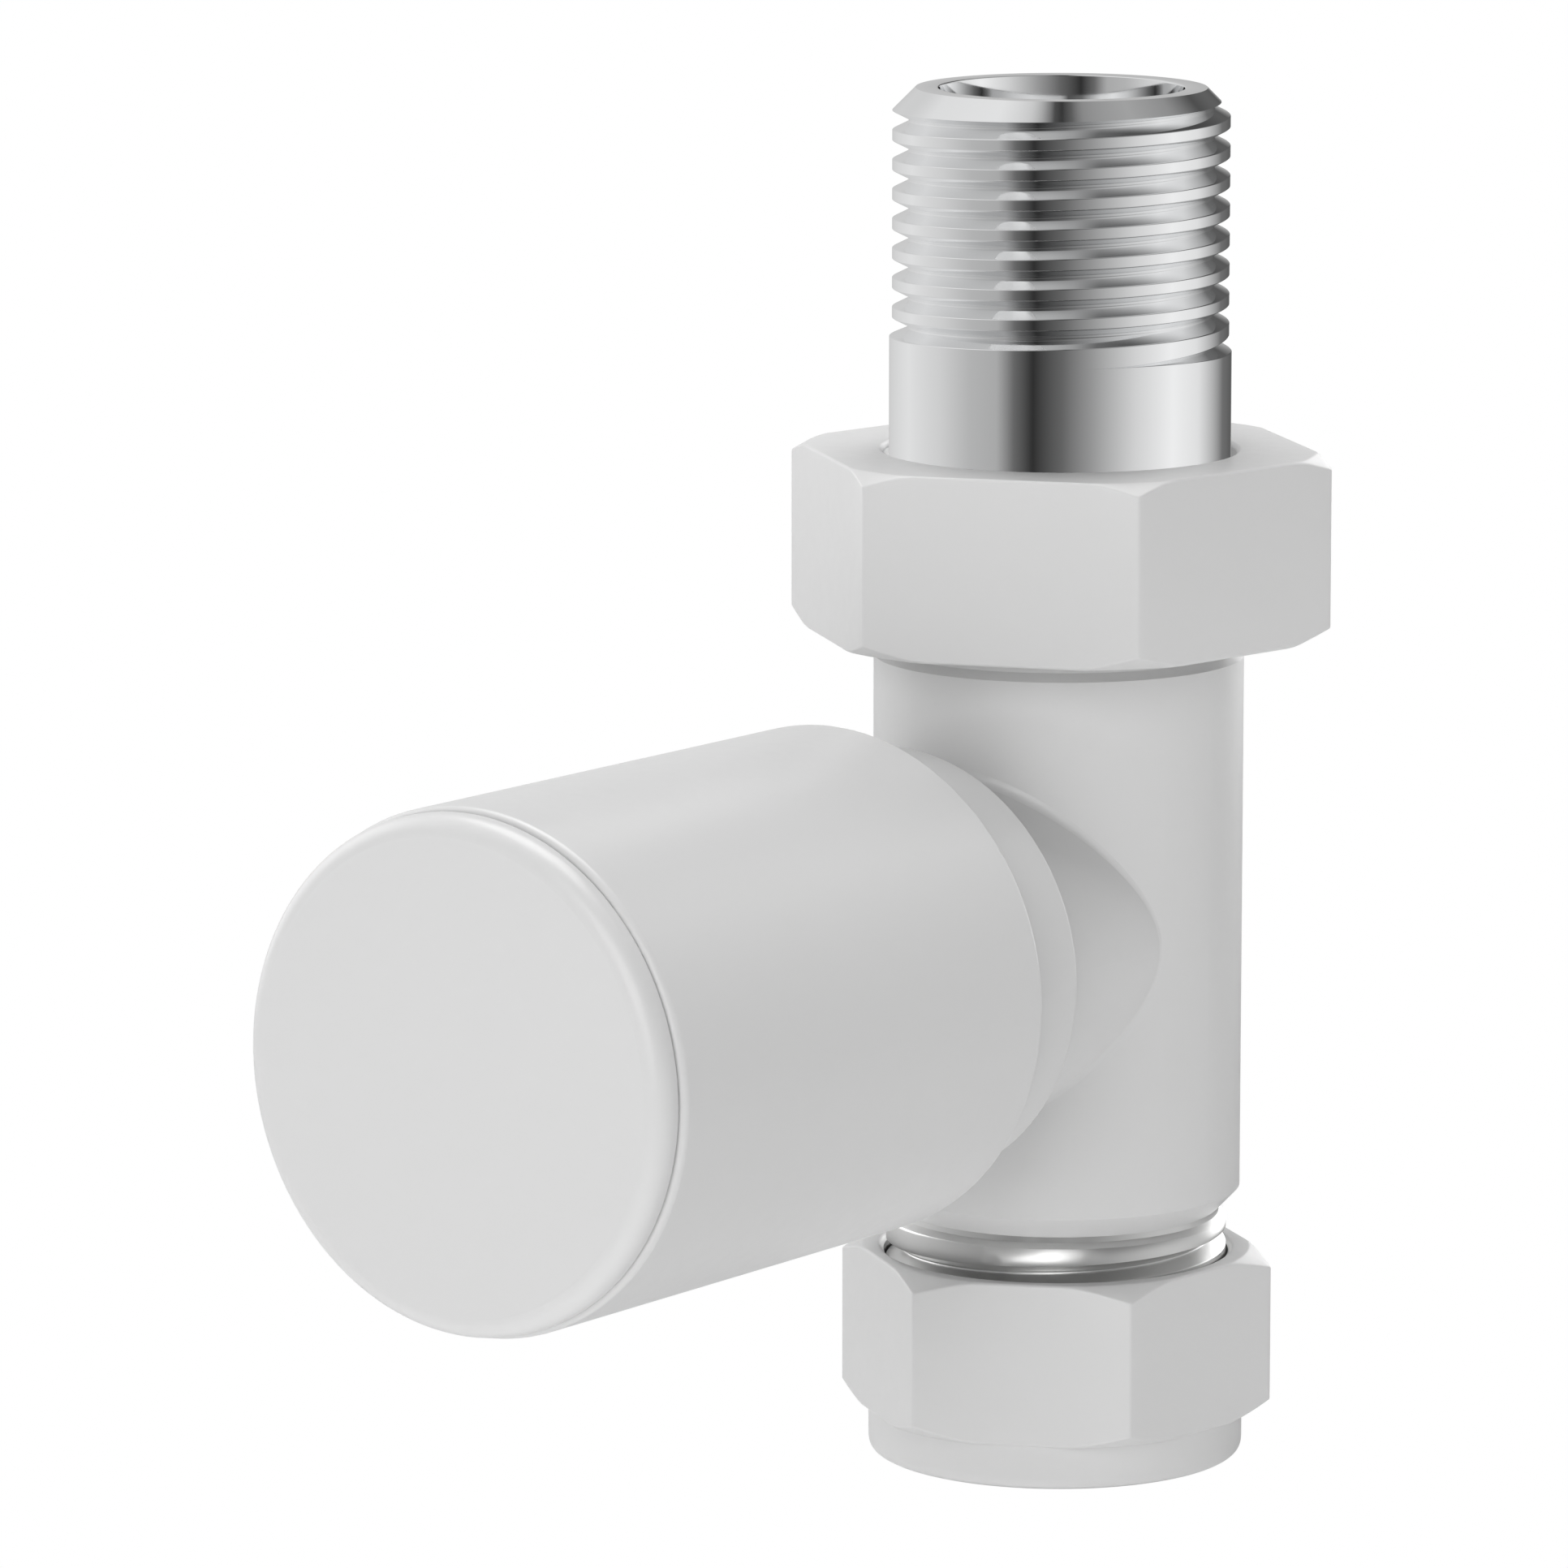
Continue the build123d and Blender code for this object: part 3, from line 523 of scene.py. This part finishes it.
# ---- valve body -----------------------------------------------------------------------------------
def make_valve_body():
    """The CAD body with its thread grooves taken off and helical threads put between the same rings."""
    low, high = span("valve_body")
    branch_height = span("cap_sleeve")[0].z + CAP_RADIUS
    source = frame["nodes"]["valve_body"].data
    bm = bmesh.new()
    bm.from_mesh(source)
    normals = bm.loops.layers.float_vector.new("surface_normal")
    loops = [loop for face in bm.faces for loop in face.loops]
    for loop, exact in zip(loops, source.corner_normals):
        loop[normals] = exact.vector
    bmesh.ops.remove_doubles(bm, verts=bm.verts, dist=WELD)
    threads = [
        Thread(
            COMPRESSION_THREAD_RADIUS, COMPRESSION_THREAD_RADIUS - THREAD_DEPTH, low.z + 0.7, low.z + 8.5,
            start_height=low.z + 1.4, start_angle=THREAD_RUN_OUT, turns=3.4, fade=0.2,
        ),
        Thread(
            UNION_THREAD_RADIUS, UNION_THREAD_RADIUS - THREAD_DEPTH, high.z - 5.0, high.z - 0.7,
            start_height=high.z - 4.3, start_angle=0, turns=1.6, fade=0.2,
        ),
    ]
    for thread in threads:
        zone = []
        for face in bm.faces:
            centre = face.calc_center_median() / MM
            if thread.low < centre.z < thread.high and hypot(centre.x, centre.y) > thread.root - 0.3:
                zone.append(face)
        bmesh.ops.delete(bm, geom=zone, context="FACES")
        edge = thread.low * MM
        rim = [
            vert.co for vert in bm.verts
            if abs(vert.co.z - edge) < 0.01 * MM and abs(hypot(vert.co.x, vert.co.y) / MM - thread.crest) < 0.05
        ]
        skin_columns(bm, sorted(atan2(place.y, place.x) for place in rim), thread.column, closed=False)
    for face in bm.faces:
        centre = face.calc_center_median() / MM
        off_flow = hypot(centre.x, centre.y)
        off_branch = hypot(centre.x, centre.z - branch_height)
        bare = off_flow < 8.9 or (off_branch < 8.8 and centre.y < 0)
        on_thread = centre.z < low.z + 9.25 or centre.z > high.z - 5.9
        face.material_index = 2 if bare else 1 if on_thread else 0
    materials = [MATERIALS["white_body"], NICKEL, MATERIALS["brass"]]
    finish_piece(bm, "valve_body_threaded", materials, "valve", "valve_body", normals)


chromed_tail = make_tailpiece()
make_union_nut().visible_glossy = False      # the chrome shank doesn't mirror the nut it stands in
make_compression_nut()
make_valve_body()

# ---- floor, light and camera ----------------------------------------------------------------------
def make_floor():
    """White paper that bounces light, just below the lowest place the compression nut drops to."""
    mesh = bpy.data.meshes.new("studio_floor")
    half, height = 6.0, -9 * MM
    corners = [(-half, -half, height), (half, -half, height), (half, half, height), (-half, half, height)]
    mesh.from_pydata(corners, [], [(0, 1, 2, 3)])
    floor = bpy.data.objects.new("studio_floor", mesh)
    bpy.context.scene.collection.objects.link(floor)
    material, shader, nodes = new_material("studio_floor_paper", base_color=(0.8, 0.8, 0.8, 1), roughness=0.9)
    shader.inputs["Emission Color"].default_value = (1, 1, 1, 1)
    shader.inputs["Emission Strength"].default_value = 0.32
    # it is seen as the same plain white as the backdrop
    output = material.node_tree.nodes["Material Output"]
    white = nodes.add("ShaderNodeEmission", {"Color": (1, 1, 1, 1), "Strength": 1.0})
    is_seen = nodes.add("ShaderNodeLightPath").outputs["Is Camera Ray"]
    paper = nodes.add("ShaderNodeMixShader", {0: is_seen, 1: shader.outputs["BSDF"], 2: white.outputs[0]})
    material.node_tree.links.new(paper.outputs[0], output.inputs["Surface"])
    mesh.materials.append(material)
    floor.visible_glossy = False


HORIZON_SWEEP = [
    (-180, 0.58), (-155, 0.70), (-125, 0.82), (-90, 0.68), (-65, 0.50), (-45, 0.44), (-33, 0.15), (-20, 0.03),
    (0, 0.14), (20, 0.34), (50, 0.70), (80, 0.95), (105, 0.82), (125, 0.45), (140, 0.17), (166, 0.10), (180, 0.58),
]
UPPER_SWEEP = [
    (-180, 0.36), (-158, 0.56), (-135, 0.80), (-100, 0.85), (-75, 0.65), (-50, 0.30), (-28, 0.08), (0, 0.04),
    (35, 0.12), (60, 0.28), (100, 0.40), (122, 0.30), (140, 0.07), (160, 0.07), (172, 0.22), (180, 0.36),
]
LOWER_SWEEP = [
    (-180, 0.55), (-110, 0.62), (-40, 0.58), (-8, 0.50), (10, 0.40), (32, 0.16), (60, 0.10), (108, 0.10),
    (140, 0.40), (180, 0.55),
]


def sweep_ramp(nodes, azimuth, stops):
    """Brightness round the studio, by the angle from the side that faces the camera's place."""
    ramp = nodes.add("ShaderNodeValToRGB", {"Fac": azimuth})
    elements = ramp.color_ramp.elements
    elements[0].position = 0.0
    elements[1].position = 1.0
    for place, (angle, level) in enumerate(stops):
        position = (angle + 180) / 360
        if place == 0:
            element = elements[0]
        elif place == len(stops) - 1:
            element = elements[len(elements) - 1]
        else:
            element = elements.new(position)
        element.color = (level, level, level, 1)
    return ramp.outputs["Color"]


def make_studio():
    world = bpy.data.worlds.new("soft_studio")
    bpy.context.scene.world = world
    world.use_nodes = True
    tree = world.node_tree
    tree.nodes.clear()
    nodes = Nodes(tree)
    turn = radians(CAMERA_AZIMUTH)
    direction = nodes.add("ShaderNodeTexCoord").outputs["Generated"]
    front = nodes.add("ShaderNodeVectorMath", {0: direction, 1: (sin(turn), -cos(turn), 0)}, operation="DOT_PRODUCT")
    side = nodes.add("ShaderNodeVectorMath", {0: direction, 1: (cos(turn), sin(turn), 0)}, operation="DOT_PRODUCT")
    azimuth = nodes.add(
        "ShaderNodeMath", {0: side.outputs["Value"], 1: front.outputs["Value"]}, operation="ARCTAN2"
    )
    share = nodes.add(
        "ShaderNodeMapRange", {"Value": azimuth.outputs["Value"], "From Min": -pi, "From Max": pi}
    ).outputs["Result"]
    height = nodes.add("ShaderNodeSeparateXYZ", {"Vector": direction}).outputs["Z"]
    upper_share = nodes.add(
        "ShaderNodeMapRange", {"Value": height, "From Min": 0.2, "From Max": 0.6}, interpolation_type="SMOOTHSTEP"
    ).outputs["Result"]
    lower_share = nodes.add(
        "ShaderNodeMapRange", {"Value": height, "From Min": -0.3, "From Max": -0.7}, interpolation_type="SMOOTHSTEP"
    ).outputs["Result"]
    horizon = sweep_ramp(nodes, share, HORIZON_SWEEP)
    upper = sweep_ramp(nodes, share, UPPER_SWEEP)
    sweep = nodes.add("ShaderNodeMix", data_type="RGBA")
    tree.links.new(upper_share, sweep.inputs["Factor"])
    tree.links.new(horizon, sweep.inputs[6])
    tree.links.new(upper, sweep.inputs[7])
    floored = nodes.add("ShaderNodeMix", data_type="RGBA")
    tree.links.new(lower_share, floored.inputs["Factor"])
    tree.links.new(sweep.outputs[2], floored.inputs[6])
    tree.links.new(sweep_ramp(nodes, share, LOWER_SWEEP), floored.inputs[7])
    reflected = nodes.add("ShaderNodeBackground", {"Color": floored.outputs[2], "Strength": 1.0})
    ambient = nodes.add("ShaderNodeBackground", {"Color": (1, 1, 1, 1), "Strength": 0.08})
    backdrop = nodes.add("ShaderNodeBackground", {"Color": (1, 1, 1, 1), "Strength": 1.0})
    path = nodes.add("ShaderNodeLightPath")
    lit = nodes.add("ShaderNodeMixShader", {0: path.outputs["Is Glossy Ray"], 1: ambient.outputs[0], 2: reflected.outputs[0]})
    seen = nodes.add("ShaderNodeMixShader", {0: path.outputs["Is Camera Ray"], 1: lit.outputs[0], 2: backdrop.outputs[0]})
    nodes.add("ShaderNodeOutputWorld", {"Surface": seen.outputs[0]})


def make_light(name, azimuth, elevation, distance, size, power):
    """A square soft box aimed at the middle of the object. Azimuth is from the camera's side."""
    turn = radians(CAMERA_AZIMUTH - 90 + azimuth)
    rise = radians(elevation)
    light = bpy.data.lights.new(name, "AREA")
    light.shape = "SQUARE"
    light.size = size
    light.energy = power
    lamp = bpy.data.objects.new(name, light)
    middle = (cad_low + cad_high) / 2
    away = Vector((cos(turn) * cos(rise), sin(turn) * cos(rise), sin(rise)))
    lamp.location = middle + away * distance
    lamp.rotation_euler = away.to_track_quat("Z", "Y").to_euler()
    bpy.context.scene.collection.objects.link(lamp)
    # the chrome mirrors the graded studio alone
    unlit = bpy.data.collections.new(name + "_skips")
    unlit.objects.link(chromed_tail)
    lamp.light_linking.receiver_collection = unlit
    unlit.collection_objects[0].light_linking.link_state = "EXCLUDE"


def make_camera():
    camera = bpy.data.cameras.new("studio_camera")
    camera.lens = CAMERA_LENS
    camera.sensor_width = 36.0
    view = bpy.data.objects.new("studio_camera", camera)
    view.location = CAMERA_PLACE
    view.rotation_euler = (radians(90 - CAMERA_PITCH), 0, radians(CAMERA_AZIMUTH))
    bpy.context.scene.collection.objects.link(view)
    bpy.context.scene.camera = view


make_floor()
make_studio()
make_light("key_softbox", -14, 22, 1.2, 0.9, 8.6)
make_light("left_softbox", -122, 15, 1.2, 0.9, 4.6)
make_light("right_softbox", 146, 12, 1.2, 0.9, 6.6)
make_light("top_softbox", 180, 75, 1.2, 0.9, 14)
make_camera()
bpy.context.scene.view_settings.view_transform = "Standard"
